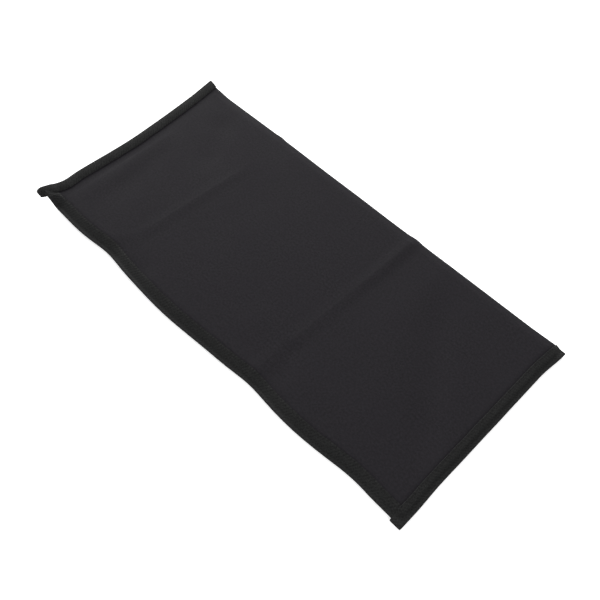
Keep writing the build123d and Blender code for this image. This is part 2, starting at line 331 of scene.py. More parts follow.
def mesh_object(name, points, faces, cloth_uv, wear_and_highlight=None):
    """A smooth-shaded mesh from points and cloth coordinates in millimetres."""
    mesh = bpy.data.meshes.new(name)
    mesh.from_pydata((points * METRES).tolist(), [], faces)
    set_cloth_uv(mesh, cloth_uv * METRES)
    # The optional mask stored here paints the cloth paler: partly rubbing, partly painted highlight.
    if wear_and_highlight is not None:
        attribute = mesh.attributes.new("wear_and_highlight", "FLOAT", "POINT")
        attribute.data.foreach_set("value", wear_and_highlight.astype(np.float32))
    mesh.shade_smooth()
    mesh.update()
    obj = bpy.data.objects.new(name, mesh)
    bpy.context.scene.collection.objects.link(obj)
    return obj


def thick_grid(name, points, half, keep=None, around=False, wear_and_highlight=None, cloth_uv=None, normal=None):
    """A closed sheet of real thickness from the grid of its middle surface.

    keep marks the cells that exist, so a hole is a patch of cells left out; its edges are walled.
    """
    rows, columns = points.shape[:2]
    normal = grid_normals(points, around) if normal is None else normal
    uv = grid_lengths(points) if cloth_uv is None else cloth_uv
    cells = (rows - 1, columns if around else columns - 1)
    keep = np.ones(cells, dtype=bool) if keep is None else keep
    offset = rows * columns
    index = np.arange(offset).reshape(rows, columns)
    following = np.roll(index, -1, axis=1)
    if not around:
        index = index[:, :-1]
        following = following[:, :-1]
    tops = np.stack([index[:-1], index[1:], following[1:], following[:-1]], axis=-1)[keep]
    faces = tops.tolist() + (tops[:, ::-1] + offset).tolist()
    edges = {}  # those of one quad only: the outline of the sheet and of its holes
    for quad in tops.tolist():
        for start, end in zip(quad, quad[1:] + quad[:1]):
            if (end, start) in edges:
                del edges[(end, start)]
            else:
                edges[(start, end)] = True
    faces += [[end, start, start + offset, end + offset] for start, end in edges]
    rim = list(edges) + [(start + offset, end + offset) for start, end in edges]
    above = (points + normal * half).reshape(-1, 3)
    below = (points - normal * half).reshape(-1, 3)
    both = np.concatenate([above, below])
    both_uv = np.concatenate([uv.reshape(-1, 2)] * 2)
    both_wear_and_highlight = None if wear_and_highlight is None else np.concatenate([wear_and_highlight.ravel()] * 2)
    used = np.zeros(2 * offset, dtype=bool)
    used[np.concatenate([np.array(face) for face in faces])] = True
    renumber = np.cumsum(used) - 1
    faces = [[int(renumber[i]) for i in face] for face in faces]
    obj = mesh_object(
        name, both[used], faces, both_uv[used], None if both_wear_and_highlight is None else both_wear_and_highlight[used]
    )
    sharpen(obj.data, {tuple(sorted((int(renumber[a]), int(renumber[b])))) for a, b in rim})
    return obj


def sharpen(mesh, rim):
    """Keeps the shading of a sheet's faces apart from that of its thin cut edges."""
    pairs = np.empty(2 * len(mesh.edges), dtype=np.int32)
    mesh.edges.foreach_get("vertices", pairs)
    pairs = np.sort(pairs.reshape(-1, 2), axis=1)
    sharp = np.array([(int(a), int(b)) in rim for a, b in pairs], dtype=bool)
    attribute = mesh.attributes.new("sharp_edge", "BOOLEAN", "EDGE")
    attribute.data.foreach_set("value", sharp)


def ring_faces(first, rings, count):
    """Faces of a solid built from rings of points, the first of them at index first, with its ends capped."""
    faces = []
    for ring in range(rings - 1):
        for k in range(count):
            a = first + ring * count + k
            b = first + ring * count + (k + 1) % count
            faces.append((a, b, b + count, a + count))
    faces.append(tuple(first + k for k in reversed(range(count))))
    faces.append(tuple(first + (rings - 1) * count + k for k in range(count)))
    return faces


def bend_at_fold(obj):
    """Bakes a soft piece's placement into its mesh."""
    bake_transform(obj)


# ---- materials ----


class Nodes:
    """Short names for building a material's nodes."""

    def __init__(self, name):
        self.material = bpy.data.materials.new(name)
        self.material.use_nodes = True
        self.tree = self.material.node_tree
        self.shader = self.tree.nodes["Principled BSDF"]

    def add(self, kind, **values):
        node = self.tree.nodes.new(kind)
        for key, value in values.items():
            setattr(node, key, value)
        return node

    def link(self, source, target):
        self.tree.links.new(source, target)

    def cloth_uv(self, scale=(1.0, 1.0), turn=0.0):
        """Cloth coordinates in metres, scaled so that one unit is one repeat."""
        uv = self.add("ShaderNodeUVMap", uv_map="cloth")
        mapping = self.add("ShaderNodeMapping")
        mapping.inputs["Scale"].default_value = (scale[0], scale[1], 1.0)
        mapping.inputs["Rotation"].default_value = (0, 0, turn)
        self.link(uv.outputs["UV"], mapping.inputs["Vector"])
        return mapping.outputs["Vector"]

    def noise(self, vector, scale, detail=2.0, rough=0.5):
        node = self.add("ShaderNodeTexNoise")
        node.inputs["Scale"].default_value = scale
        node.inputs["Detail"].default_value = detail
        node.inputs["Roughness"].default_value = rough
        self.link(vector, node.inputs["Vector"])
        return node.outputs["Fac"]

    def ribs(self, vector, per_metre, along, distortion):
        """Smooth parallel ribs."""
        node = self.add("ShaderNodeTexWave", wave_type="BANDS", bands_direction=along)
        node.inputs["Scale"].default_value = per_metre / 20 * math.pi
        node.inputs["Distortion"].default_value = distortion
        node.inputs["Detail Scale"].default_value = per_metre / 8
        self.link(vector, node.inputs["Vector"])
        return node.outputs["Fac"]

    def times(self, first, second):
        """The product of a socket and either another socket or a number."""
        node = self.add("ShaderNodeMath", operation="MULTIPLY")
        self.link(first, node.inputs[0])
        if isinstance(second, float):
            node.inputs[1].default_value = second
        else:
            self.link(second, node.inputs[1])
        return node.outputs["Value"]

    def ramp(self, factor, low_value, high_value, colours):
        """Maps a factor between two values onto two colours."""
        node = self.add("ShaderNodeValToRGB")
        node.color_ramp.elements[0].position = low_value
        node.color_ramp.elements[1].position = high_value
        node.color_ramp.elements[0].color = (*colours[0], 1)
        node.color_ramp.elements[1].color = (*colours[1], 1)
        self.link(factor, node.inputs["Fac"])
        return node.outputs["Color"]

    def mix(self, factor, first, colour):
        """Goes from a socket's colour to a plain one as the factor goes from 0 to 1."""
        node = self.add("ShaderNodeMix", data_type="RGBA")
        self.link(factor, node.inputs["Factor"])
        self.link(first, node.inputs["A"])
        node.inputs["B"].default_value = (*colour, 1)
        return node.outputs["Result"]

    def bump(self, height, distance, strength, after=None):
        node = self.add("ShaderNodeBump")
        node.inputs["Distance"].default_value = distance
        node.inputs["Strength"].default_value = strength
        self.link(height, node.inputs["Height"])
        if after is not None:
            self.link(after, node.inputs["Normal"])
        return node.outputs["Normal"]

    def colour(self, socket):
        self.link(socket, self.shader.inputs["Base Color"])

    def normal(self, socket):
        self.link(socket, self.shader.inputs["Normal"])

    def roughness(self, factor, low_value, high_value):
        node = self.add("ShaderNodeMapRange")
        node.inputs["To Min"].default_value = low_value
        node.inputs["To Max"].default_value = high_value
        self.link(factor, node.inputs["Value"])
        self.link(node.outputs["Result"], self.shader.inputs["Roughness"])

    def set(self, **values):
        for key, value in values.items():
            socket = key.replace("_", " ").title().replace("Ior", "IOR")
            self.shader.inputs[socket].default_value = value


BLACK_TO_WHITE = ((0, 0, 0), (1, 1, 1))


def shade(colour, factor):
    """A lighter or darker version of a colour."""
    return tuple(factor * c for c in colour)


def woven_cloth(name, colour, threads, sheen, wear_and_highlight_colour):
    """A closely woven matt cloth: fine weave, slight mottling, and painted paler along the creases and the
    folded edge, partly for rubbing and partly as a painted highlight.
    """
    nodes = Nodes(name)
    uv = nodes.cloth_uv()
    warp_threads = nodes.ribs(uv, threads, "X", 0.4)
    weft_threads = nodes.ribs(uv, threads, "Y", 0.4)
    weave = nodes.times(warp_threads, weft_threads)
    mottling = nodes.noise(uv, 22.0, 4.0, 0.62)
    slubs = nodes.noise(nodes.cloth_uv((260.0, 1400.0)), 1.0, 2.0)
    broad = nodes.ramp(mottling, 0.3, 0.72, (shade(colour, 0.86), shade(colour, 1.16)))
    flecks = nodes.noise(uv, 400.0, 2.0, 0.65)
    base = nodes.mix(nodes.ramp(flecks, 0.35, 0.7, BLACK_TO_WHITE), broad, shade(colour, 1.55))
    threads_seen = nodes.mix(nodes.times(weave, 0.35), base, shade(colour, 1.5))
    # The mesh's mask paints the cloth paler: rubbing plus painted highlights on the crease crests and the
    # folded edge.
    wear_and_highlight = nodes.add("ShaderNodeAttribute", attribute_name="wear_and_highlight")
    rubbed_and_highlit = nodes.times(wear_and_highlight.outputs["Fac"], nodes.times(slubs, 1.1))
    nodes.colour(nodes.mix(rubbed_and_highlit, threads_seen, wear_and_highlight_colour))
    nodes.roughness(mottling, 0.72, 0.95)
    puckers = nodes.bump(nodes.noise(uv, 90.0, 3.0, 0.55), 0.0005, 0.5)
    nodes.normal(nodes.bump(weave, 0.00012, 0.5, puckers))
    nodes.set(sheen_weight=sheen, sheen_roughness=0.6, specular_ior_level=0.05)
    return nodes.material


def ribbed_tape(name, colour, pitch, slope, sheen=0.05):
    """A woven tape with slanting ribs, a fine weave across them, and paler floats of thread."""
    nodes = Nodes(name)
    ribs = nodes.ribs(nodes.cloth_uv(turn=slope), 1 / pitch, "X", 0.8)
    fine = nodes.ribs(nodes.cloth_uv(), 1600.0, "Y", 0.3)
    mottling = nodes.noise(nodes.cloth_uv(), 60.0, 4.0, 0.6)
    floats = nodes.noise(nodes.cloth_uv(), 620.0, 2.0, 0.6)
    base = nodes.ramp(ribs, 0.15, 0.85, (shade(colour, 0.45), shade(colour, 1.1)))
    speckled = nodes.mix(nodes.ramp(floats, 0.4, 0.68, BLACK_TO_WHITE), base, shade(colour, 2.1))
    blotched = nodes.mix(nodes.times(mottling, 0.3), speckled, shade(colour, 1.1))
    nodes.colour(blotched)
    nodes.roughness(mottling, 0.66, 0.9)
    first = nodes.bump(ribs, 0.00022, 0.8)
    nodes.normal(nodes.bump(fine, 0.00006, 0.4, first))
    nodes.set(sheen_weight=sheen, sheen_roughness=0.5, specular_ior_level=0.15)
    return nodes.material


def knitted_rib(name, colour, pitch):
    """A stretchy knitted rib for the cuffs and their elastic."""
    nodes = Nodes(name)
    ribs = nodes.ribs(nodes.cloth_uv(), 1 / pitch, "Y", 0.6)
    loops = nodes.ribs(nodes.cloth_uv(), 1400.0, "X", 0.6)
    mottling = nodes.noise(nodes.cloth_uv(), 80.0, 3.0)
    nodes.colour(nodes.ramp(ribs, 0.1, 0.9, (shade(colour, 0.55), shade(colour, 1.35))))
    nodes.roughness(mottling, 0.7, 0.95)
    first = nodes.bump(ribs, 0.0004, 0.8)
    nodes.normal(nodes.bump(loops, 0.0001, 0.5, first))
    nodes.set(sheen_weight=0.05, sheen_roughness=0.5, specular_ior_level=0.12)
    return nodes.material


def spun_thread(name, colour):
    """Sewing thread: two plies twisted together."""
    nodes = Nodes(name)
    plies = nodes.ribs(nodes.cloth_uv(turn=0.6), 1500.0, "X", 0.3)
    nodes.colour(nodes.ramp(plies, 0.1, 0.9, (shade(colour, 0.6), shade(colour, 1.3))))
    nodes.roughness(plies, 0.45, 0.7)
    nodes.normal(nodes.bump(plies, 0.00006, 0.6))
    nodes.set(specular_ior_level=0.15)
    return nodes.material


def moulded_nylon(name, colour):
    """Zip teeth: satin plastic with a slight grain."""
    nodes = Nodes(name)
    place = nodes.add("ShaderNodeTexCoord").outputs["Object"]
    grain = nodes.noise(place, 2500.0, 2.0)
    blotches = nodes.noise(place, 180.0, 3.0)
    nodes.colour(nodes.ramp(blotches, 0.3, 0.7, (shade(colour, 0.75), shade(colour, 1.25))))
    nodes.roughness(grain, 0.3, 0.5)
    nodes.normal(nodes.bump(grain, 0.00002, 0.4))
    nodes.set(specular_ior_level=0.5)
    return nodes.material


def enamelled_metal(name, colour, bare):
    """Zip slider and pull: black enamel, rubbed through in small spots."""
    nodes = Nodes(name)
    place = nodes.add("ShaderNodeTexCoord").outputs["Object"]
    spots = nodes.noise(place, 900.0, 5.0, 0.7)
    orange_peel = nodes.noise(place, 1500.0, 1.0)
    worn = nodes.ramp(spots, 0.66, 0.72, BLACK_TO_WHITE)
    base = nodes.ramp(orange_peel, 0.2, 0.8, (shade(colour, 0.8), shade(colour, 1.3)))
    nodes.colour(nodes.mix(nodes.times(worn, 0.7), base, bare))
    nodes.link(nodes.times(worn, 0.8), nodes.shader.inputs["Metallic"])
    nodes.roughness(spots, 0.22, 0.42)
    nodes.normal(nodes.bump(orange_peel, 0.00003, 0.5))
    nodes.set(specular_ior_level=0.6, coat_weight=0.3, coat_roughness=0.15)
    return nodes.material


CLOTH_COLOUR = (0.0103, 0.0094, 0.0112)
TAPE_COLOUR = (0.0092, 0.0093, 0.0093)

MATERIALS = {
    # The last colour of each cloth is the paler one painted in by its mask: rubbing plus painted highlight.
    "outer_cloth": woven_cloth("outer_cloth", CLOTH_COLOUR, 2200.0, 0.02, (0.03, 0.029, 0.031)),
    "inner_cloth": woven_cloth("inner_cloth", (0.0105, 0.0105, 0.011), 2600.0, 0.08, (0.03, 0.03, 0.03)),
    "binding_tape": ribbed_tape("binding_tape", TAPE_COLOUR, 0.0015, 0.62),
    "elastic": knitted_rib("elastic", (0.016, 0.016, 0.017), 0.0019),
    "zip_tape": ribbed_tape("zip_tape", (0.012, 0.012, 0.0125), 0.0009, 0.8, 0.1),
    "zip_teeth": moulded_nylon("zip_teeth", (0.011, 0.011, 0.0115)),
    "zip_metal": enamelled_metal("zip_metal", (0.008, 0.008, 0.009), (0.42, 0.4, 0.37)),
    "thread": spun_thread("thread", (0.0045, 0.0045, 0.0047)),
}


def dress(obj, material):
    """Gives a piece its material."""
    obj.data.materials.clear()
    obj.data.materials.append(MATERIALS[material])
    return obj


# ---- the two bags ----

NOSE_DEPTH = 6.0  # how deep the turn at the folded edge is
NOSE_STEPS = 12
INNER_INSET = 1.2  # the inner bag lies this far inside the outer one


def bag_section(y_lines, x_lines, front_heights, back_heights, inset):
    """The middle surface of one bag, from its near edge over the front, round the fold and back."""
    turn_y = FOLD_EDGE - inset - NOSE_DEPTH
    flat_y = y_lines[y_lines < turn_y - 0.5]
    x = x_lines[:, None]
    top_y = np.concatenate([flat_y, [turn_y]])[None, :]
    top = grid_of(x, top_y, front(x, top_y, front_heights, 1.5 * inset))
    under = grid_of(x, top_y, back(x, top_y, back_heights))[:, ::-1]
    high_z = top[:, -1:, 2]
    low_z = under[:, :1, 2]
    angle = np.linspace(0, math.pi, NOSE_STEPS + 1)[None, 1:-1]
    nose_y = turn_y + NOSE_DEPTH * np.sin(angle)
    nose_z = (high_z + low_z) / 2 + (high_z - low_z) / 2 * np.cos(angle)
    return np.concatenate([top, grid_of(x, nose_y, nose_z), under], axis=1)


def arm_slit(centre):
    """The ranges of x and y that one arm slit covers."""
    return (
        (ARM_SLIT_X - ARM_SLIT_HALF[0], ARM_SLIT_X + ARM_SLIT_HALF[0]),
        (centre - ARM_SLIT_HALF[1], centre + ARM_SLIT_HALF[1]),
    )


def rubbed_and_highlit(points):
    """Where the cloth is painted paler: along the opened creases, partly real rubbing and partly a painted
    highlight on their crests, and a painted highlight along the folded edge, where its rounded turn catches
    the light.
    """
    x, y = points[..., 0], points[..., 1]
    # The crease lines: real rubbing plus a painted highlight on each crest.
    left = 0.3 * bell((x - LEFT_CREASE - 0.045 * y) / 1.6) * ease((y + 90) / 30) * ease((70 - y) / 40)
    right = 0.2 * bell((x - RIGHT_CREASE + 0.5 - 0.02 * y) / 1.6) * ease((y + 80) / 40)
    wear_and_highlight = left + right
    # The folded edge: a painted highlight where its rounded turn catches the light.
    return np.clip(wear_and_highlight + 0.8 * ease((y - FOLD_EDGE + 3.5) / 3), 0, 1)


STEP = 3.0
FINE_STEP = 1.1
FINE_REACH = 18.0  # how far from a crease the fine steps go
END_GAP = 0.8  # from the bag's ends to its cut cloth, inside the tapes
NEAR_GAP = 0.6


def make_bag(kind, front_heights, back_heights, half, inset, zip_x):
    """One bag as a folded sheet in two pieces, one for each fold, that meet in the middle."""
    slot_x = (zip_x - ZIP_SLOT_HALF, zip_x + ZIP_SLOT_HALF)
    slot_y = (ZIP_NEAR + ZIP_SLOT_END, ZIP_FAR - ZIP_SLOT_END)
    slits = [arm_slit(centre) for centre in SLEEVE_CENTRES.values()]
    slits_y = [y for slit in slits for y in slit[1]]
    y_breaks = [NEAR_EDGE + inset + NEAR_GAP, FOLD_EDGE - NOSE_DEPTH - inset, *slot_y, *slits_y]
    x_breaks = [LEFT_EDGE + END_GAP + inset, SPLIT, RIGHT_EDGE - END_GAP - inset, *slot_x, *slits[0][0]]
    x_all = refine(lines(x_breaks, STEP), (LEFT_CREASE, RIGHT_CREASE), FINE_REACH, FINE_STEP)
    straight = bag_section(lines(y_breaks, STEP), x_all, front_heights, back_heights, inset)
    holes = cells_inside(straight, slot_x, slot_y)
    for slit in slits:
        holes |= cells_inside(straight, *slit)
    cells = holes.shape[1]
    on_back = np.arange(cells)[None, :] > cells / 2
    keep = ~(holes & on_back)
    points = warp(straight)
    cloth_uv = grid_lengths(points)
    normals = grid_normals(points)
    # Mask of cloth painted paler: rubbing and painted highlights along the creases, and a painted highlight
    # along the folded edge.
    wear_and_highlight = rubbed_and_highlit(straight)
    middle = int(np.argmin(np.abs(x_all - SPLIT)))
    left_part = (slice(0, middle + 1), slice(0, middle), ("left", "middle"))
    right_part = (slice(middle, None), slice(middle, None), ("right",))
    for side, (part, part_cells, sections) in {"left": left_part, "right": right_part}.items():
        maps = {"wear_and_highlight": wear_and_highlight[part], "cloth_uv": cloth_uv[part], "normal": normals[part]}
        obj = thick_grid(f"{kind}_bag_{side}", points[part], half, keep[part_cells], **maps)
        dress(obj, f"{kind}_cloth")
        bend_at_fold(obj)
        layers = ("front", "back")
        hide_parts(*[f"{kind}_{layer}_{section}" for layer in layers for section in sections])


# ---- binding tapes ----

TAPE_FLAP = TAPE_WIDTH - 0.4
FLAP_STEPS = 14
TAPE_NOSE = 1.6  # how deep the turn round the edge is
TAPE_NOSE_STEPS = 7
TAPE_STEP = 1.5
EDGE_RISE = 0.1  # the tape's fold stands a little proud of its flap
LEFT_TAPE_SHARE = 0.86  # the left end's tape takes more of its width round the edge
LEFT_TAPE_RISE = 1.7  # and its fold stands higher


def tape_profile():
    """Steps round a tape's section: how far in from the edge, and from top (1) to bottom (0)."""
    flap = np.linspace(TAPE_FLAP, TAPE_NOSE, FLAP_STEPS)
    angle = np.linspace(0, math.pi, TAPE_NOSE_STEPS + 2)[1:-1]
    inward = np.concatenate([flap, TAPE_NOSE - TAPE_NOSE * np.sin(angle), flap[::-1]])
    level = np.concatenate([np.ones(FLAP_STEPS), 0.5 + 0.5 * np.cos(angle), np.zeros(FLAP_STEPS)])
    return inward, level


def tape_heights(x, y, level, inward):
    """The height of a tape's middle: on the front cloth above, under the back cloth below."""
    gap = OUTER_HALF + TAPE_HALF
    above = front(x, y) + gap
    below = np.maximum(back(x, y) - gap, TAPE_HALF)
    above = above + EDGE_RISE * ease((4 - inward) / 4)
    on_left = ease((LEFT_EDGE + TAPE_WIDTH + 6 - x) / 4)
    above = above + on_left * LEFT_TAPE_RISE * (1 - (inward / TAPE_WIDTH / LEFT_TAPE_SHARE) ** 1.3)
    return below + (above - below) * level


def run_tape(along, edge_at, inward_axis, wave_seed):
    """The middle surface of a tape folded over one straight edge of the bag, before warping."""
    inward, level = tape_profile()
    if inward_axis == "x":
        inward = inward * LEFT_TAPE_SHARE
    s = along[:, None]
    reach = inward[None, :] + 0.25 * waves(s, 34, wave_seed) * (inward[None, :] > 8)
    if inward_axis == "y":
        x = s + 0 * reach
        y = edge_at + reach
    else:
        y = s + 0 * reach
        x = edge_at + reach if inward_axis == "x" else edge_at - reach
    z = tape_heights(x, y, level[None, :], inward[None, :])
    pucker = 0.10 * waves(s, 7, wave_seed + 1) * bell((inward[None, :] - 11) / 3)
    return grid_of(x, y, z + pucker * (level[None, :] > 0.5))


def make_tape(name, points, nodes):
    """A binding tape from its middle surface, standing for some CAD nodes."""
    obj = thick_grid(name, points, TAPE_HALF)
    dress(obj, "binding_tape")
    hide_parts(*nodes)
    return obj


def near_tape():
    """The long tape on the near edge, in two pieces that meet in the middle."""
    x_all = lines([LEFT_EDGE + 3, SPLIT, RIGHT_EDGE - 3], TAPE_STEP)
    points = warp(run_tape(x_all, NEAR_EDGE, "y", 31))
    middle = int(np.argmin(np.abs(x_all - SPLIT)))
    parts = {"left": (points[: middle + 1], ("left", "middle")), "right": (points[middle:], ("right",))}
    for side, (part, sections) in parts.items():
        nodes = [f"near_binding_{section}" for section in sections]
        outward = part[::-1]  # the grid runs this way so that its normals point out of the bag
        bend_at_fold(make_tape(f"near_tape_{side}", outward, nodes))


END_LAP = 2 * TAPE_HALF + 0.1  # the end tapes lie over the ends of the near tape
TIP_DROP = 0.9  # and come down again past its edge
TIP_ROUND = 5.0  # the length over which a tip narrows


def end_tape(name, edge_at, inward_axis, tip_y, seed, node, body):
    """A tape over one end, from its tip past the near edge to the folded edge."""
    y_all = lines([tip_y, FOLD_EDGE + 0.2], TAPE_STEP)
    points = run_tape(y_all, edge_at, inward_axis, seed)
    level = tape_profile()[1]
    on_top = np.where(level > 0.5, 1.0, 0.0)[None, :]
    over_near = ease((NEAR_EDGE + TAPE_WIDTH + 3 - y_all) / 5)[:, None]
    points[..., 2] += END_LAP * over_near * on_top
    past_near = ease((NEAR_EDGE + 1 - y_all) / 4)[:, None]
    points[..., 2] -= TIP_DROP * past_near * on_top
    round_off = np.clip((tip_y + TIP_ROUND - y_all) / TIP_ROUND, 0, 1)[:, None]
    centre = edge_at + (TAPE_WIDTH / 2) * (1 if inward_axis == "x" else -1)
    narrowing = 0.35 if inward_axis == "x" else 0.03
    points[..., 0] += (centre - points[..., 0]) * narrowing * round_off ** 2
    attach(make_tape(name, warp(points), [node]), body)


# ---- stitching ----

STITCH_PITCH = 3.2
STITCH_LENGTH = 2.5
STITCH_HALF = 0.24
STITCH_SINK = 0.22  # how far the ends of a stitch go into the cloth
STITCH_SIDES = 6


def stitch_row(name, path, up):
    """Thread stitches along a path: each one is a short rounded cord half sunk in the cloth."""
    steps = np.linalg.norm(np.diff(path, axis=0), axis=1)
    distance = np.concatenate([[0], np.cumsum(steps)])
    centres = np.arange(STITCH_PITCH, distance[-1] - STITCH_PITCH, STITCH_PITCH)
    rings = np.array([-1.0, -0.82, -0.4, 0.4, 0.82, 1.0])
    sizes = np.array([0.12, 0.7, 1.0, 1.0, 0.7, 0.12])
    angles = np.linspace(0, 2 * math.pi, STITCH_SIDES + 1)[:-1]
    points = []
    faces = []
    uvs = []
    up = np.array(up, float)
    for centre in centres:
        spots = centre + rings * STITCH_LENGTH / 2
        line = np.stack([np.interp(spots, distance, path[:, k]) for k in range(3)], axis=1)
        run = line[-1] - line[0]
        run = run / np.linalg.norm(run)
        side = np.cross(up, run)
        side = side / np.linalg.norm(side)
        top = np.cross(run, side)
        faces += ring_faces(len(points), len(rings), STITCH_SIDES)
        for place, at, spot, size in zip(rings, spots, line, sizes):
            sunk = spot - top * STITCH_SINK * (place ** 4)
            for angle in angles:
                across = side * math.cos(angle) + top * math.sin(angle)
                points.append(sunk + STITCH_HALF * size * across)
                uvs.append((at, angle * STITCH_HALF))
    obj = mesh_object(name, np.array(points), faces, np.array(uvs))
    return dress(obj, "thread")


STITCH_IN = TAPE_WIDTH - 2.2  # the seam, in from the edge of the bag


def seam_path(along, edge_at, inward_axis, level):
    """The line of a binding's seam on its top (1) or its underside (0)."""
    if inward_axis == "y":
        x, y = along, np.full_like(along, edge_at + STITCH_IN)
    else:
        inward = STITCH_IN * LEFT_TAPE_SHARE if inward_axis == "x" else -STITCH_IN
        x, y = np.full_like(along, edge_at + inward), along
    z = tape_heights(x, y, level, STITCH_IN)
    z = z + (TAPE_HALF + 0.03) * (1 if level else -1)
    return warp(np.stack([x, y, z], axis=-1))


def make_stitching():
    """The seams that hold the three tapes on, seen on both faces."""
    near_left = lines([LEFT_EDGE + TAPE_WIDTH, SPLIT], 2)
    near_right = lines([SPLIT, RIGHT_EDGE - TAPE_WIDTH], 2)
    ends = lines([NEAR_EDGE + 2, FOLD_EDGE - 3], 2)
    faces = {"top": (1, (0, 0, 1)), "under": (0, (0, 0, -1))}
    for face, (level, up) in faces.items():
        for side, along in (("left", near_left), ("right", near_right)):
            row = stitch_row(f"near_stitches_{side}_{face}", seam_path(along, NEAR_EDGE, "y", level), up)
            bend_at_fold(row)
        left = stitch_row(f"left_end_stitches_{face}", seam_path(ends, LEFT_EDGE, "x", level), up)
        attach(left, "left")
        right = stitch_row(f"right_end_stitches_{face}", seam_path(ends, RIGHT_EDGE, "-x", level), up)
        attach(right, "right")


# ---- zips ----


def zip_tape(kind, side, body):
    """One woven zip tape, flat, with a thicker cord along its inner edge."""
    node = f"{kind}_zip_tape_{side}"
    lower, upper = low(node), high(node)
    across = lines([lower[0], upper[0]], 0.6)
    along = lines([lower[1], upper[1]], 2.0)
    x, y = np.meshgrid(across, along, indexing="ij")
    inner_edge = upper[0] if side == "left" else lower[0]
    cord = 0.22 * bell((x - inner_edge) / 0.9)
    z = (lower[2] + upper[2]) / 2 + 0.05 * waves(y, 22, 41) - cord
    obj = thick_grid(node + "_woven", np.stack([x, y, z], axis=-1), 0.26)
    dress(obj, "zip_tape")
    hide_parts(node)
    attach(obj, body)
    outer_edge = lower[0] if side == "left" else upper[0]
    for row, spot in (("edge", 0.78), ("slot", 0.3)):
        x_row = inner_edge + (outer_edge - inner_edge) * spot
        path = grid_of(x_row, along, z.min() - 0.1)
        stitches = stitch_row(f"{node}_{row}_stitches", path, (0, 0, -1))
        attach(stitches, body)


TOOTH_PITCH = 1.5
TOOTH_WIDTH = 1.25
TOOTH_MARGIN = 0.4  # from the ends of the row to the middle of its outermost teeth
HEAD_REACH = 0.75  # how far a tooth's head reaches past its row, between those of the other row


def zip_teeth(kind, side, body):
    """A row of moulded teeth: each one clamps the tape's cord and ends in a rounded head."""
    node = f"{kind}_zip_teeth_{side}"
    lower, upper = low(node), high(node)
    mirror = 1 if side == "left" else -1
    root_x = lower[0] if side == "left" else upper[0]
    head_x = (upper[0] if side == "left" else lower[0]) + HEAD_REACH * mirror
    middle_z = (lower[2] + upper[2]) / 2
    half_z = (upper[2] - lower[2]) / 2
    start = lower[1] + (TOOTH_MARGIN if side == "left" else TOOTH_MARGIN + TOOTH_PITCH / 2)
    outline = [(0.0, 0.42), (0.42, 0.40), (0.55, 0.27), (0.74, 0.27), (0.86, 0.45), (1.0, 0.28)]
    levels = [(-1.0, 0.72), (-0.72, 1.0), (0.72, 1.0), (1.0, 0.72)]
    ring = outline + [(a, -b) for a, b in reversed(outline)]
    points = []
    faces = []
    for centre in np.arange(start, upper[1] - TOOTH_MARGIN, TOOTH_PITCH):
        faces += ring_faces(len(points), len(levels), len(ring))
        for level, size in levels:
            for reach, width in ring:
                x = root_x + (head_x - root_x) * (0.5 + (reach - 0.5) * (0.9 + 0.1 * size))
                y = centre + width * size * TOOTH_WIDTH
                points.append((x, y, middle_z + level * half_z))
    if mirror > 0:
        faces = [face[::-1] for face in faces]
    points = np.array(points)
    obj = mesh_object(node + "_moulded", points, faces, points[:, :2])
    obj.data.shade_flat()
    dress(obj, "zip_teeth")
    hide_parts(node)
    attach(obj, body)


def rounded_copy(node, body, material, radius):
    """A copy of a CAD piece with its edges rounded, which stands for it."""
    source = frame["nodes"][node]
    obj = bpy.data.objects.new(node + "_rounded", source.data.copy())
    obj.matrix_world = source.matrix_world
    bpy.context.scene.collection.objects.link(obj)
    weld = obj.modifiers.new("weld", "WELD")
    weld.merge_threshold = 0.00002
    bevel = obj.modifiers.new("bevel", "BEVEL")
    bevel.width = radius * METRES
    bevel.segments = 3
    bevel.limit_method = "ANGLE"
    bevel.angle_limit = math.radians(35)
    bpy.context.view_layer.update()
    depsgraph = bpy.context.evaluated_depsgraph_get()
    mesh = bpy.data.meshes.new_from_object(obj.evaluated_get(depsgraph))
    obj.modifiers.clear()
    obj.data = mesh
    mesh.name = obj.name
    place = np.empty(len(mesh.vertices) * 3, dtype=np.float32)
    mesh.vertices.foreach_get("co", place)
    set_cloth_uv(mesh, place.reshape(-1, 3)[:, :2])
    mesh.shade_smooth()
    dress(obj, material)
    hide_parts(node)
    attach(obj, body)


def make_zips():
    """Both zips: two tapes, two rows of teeth, two stops, a slider, and what it is pulled by."""
    for kind in ("outer", "inner"):
        for side in ("left", "right"):
            zip_tape(kind, side, "left")
            zip_teeth(kind, side, "left")
        for end in ("near", "far"):
            rounded_copy(f"{kind}_zip_stop_{end}", "left", "zip_metal", 0.3)
        rounded_copy(f"{kind}_zip_slider", f"{kind}_slider", "zip_metal", 0.22)
    rounded_copy("outer_zip_pull", "outer_pull", "zip_metal", 0.2)
    rounded_copy("inner_zip_soft_tab", "inner_slider", "zip_tape", 0.15)


# ---- sleeves ----


TUBE_SIDE_POWER = 0.9
TUBE_TOP_POWER = 0.28  # a small power makes a tube flat above and below


def sleeve_tube(x_lines, width, heights, centre_y, count, gathers):
    """A flattened tube along X. gathers(x, angle) is the wrinkling of its wall."""
    angle = np.linspace(0, 2 * math.pi, count + 1)[:-1][None, :]
    x = x_lines[:, None]
    side = np.sign(np.cos(angle)) * np.abs(np.cos(angle)) ** TUBE_SIDE_POWER
    up = np.sign(np.sin(angle)) * np.abs(np.sin(angle)) ** TUBE_TOP_POWER
    y = centre_y + width / 2 * side
    middle = (heights[0] + heights[1]) / 2
    z = middle + (heights[1] - heights[0]) / 2 * up + gathers(x, angle)
    return grid_of(x, y, z)


def tube_piece(name, tube, half, material, node, body):
    """A tube of cloth that stands for a CAD node, with its length from that node."""
    obj = thick_grid(name, tube, half, around=True)
    dress(obj, material)
    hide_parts(node)
    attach(obj, body)


